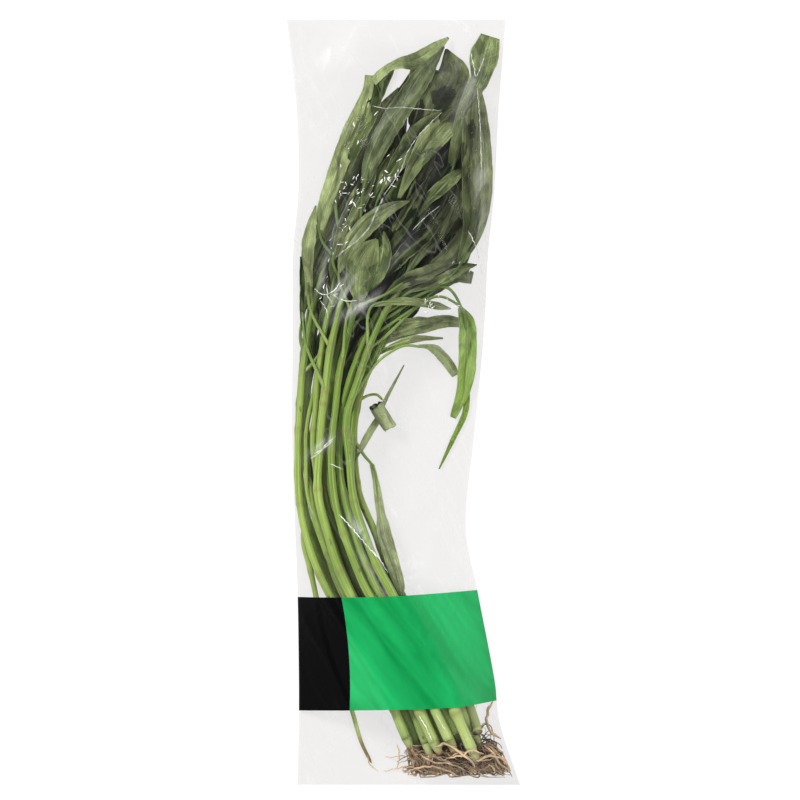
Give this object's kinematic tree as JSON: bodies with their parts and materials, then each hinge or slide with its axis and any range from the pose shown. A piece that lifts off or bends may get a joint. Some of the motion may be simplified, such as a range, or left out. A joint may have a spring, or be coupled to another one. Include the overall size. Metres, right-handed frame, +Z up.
{
  "type": "water spinach bunch",
  "caption": "Fresh water spinach pulled with its roots, lying on its back in a clear flat film sleeve with a plain black and green band.",
  "frame": {"origin": "middle of the sleeve's outline, on the surface it lies on", "axes": "+Z up from the surface, +Y from the roots and the sealed end towards the leaf tips and the open mouth, +X to the right seen from above"},
  "size_m": [0.1538, 0.5048, 0.0482],
  "materials": {
    "leafy_stem": "fresh pale green stems and dull mid-green blades, softly waxy",
    "roots": "washed tan root threads, matt, darker in the depth of the mass",
    "film": "clear glossy film, creased, with a plain black and green printed band"
  },
  "bodies": {
    "root": {"leafy_stem_01": "leafy_stem", "leafy_stem_02": "leafy_stem", "leafy_stem_03": "leafy_stem", "leafy_stem_04": "leafy_stem", "leafy_stem_05": "leafy_stem", "leafy_stem_06": "leafy_stem", "leafy_stem_07": "leafy_stem", "leafy_stem_08": "leafy_stem", "leafy_stem_09": "leafy_stem", "leafy_stem_10": "leafy_stem", "leafy_stem_11": "leafy_stem", "leafy_stem_12": "leafy_stem", "leafy_stem_13": "leafy_stem", "leafy_stem_14": "leafy_stem", "leafy_stem_15": "leafy_stem", "leafy_stem_16": "leafy_stem", "leafy_stem_17": "leafy_stem", "roots_01": "roots", "roots_02": "roots", "roots_03": "roots", "roots_04": "roots", "roots_05": "roots", "roots_06": "roots", "roots_07": "roots", "roots_08": "roots", "roots_09": "roots", "roots_10": "roots", "roots_11": "roots", "roots_12": "roots", "roots_13": "roots", "roots_14": "roots", "roots_15": "roots", "roots_16": "roots", "roots_17": "roots", "sleeve": "film"}
  },
  "joints": []
}
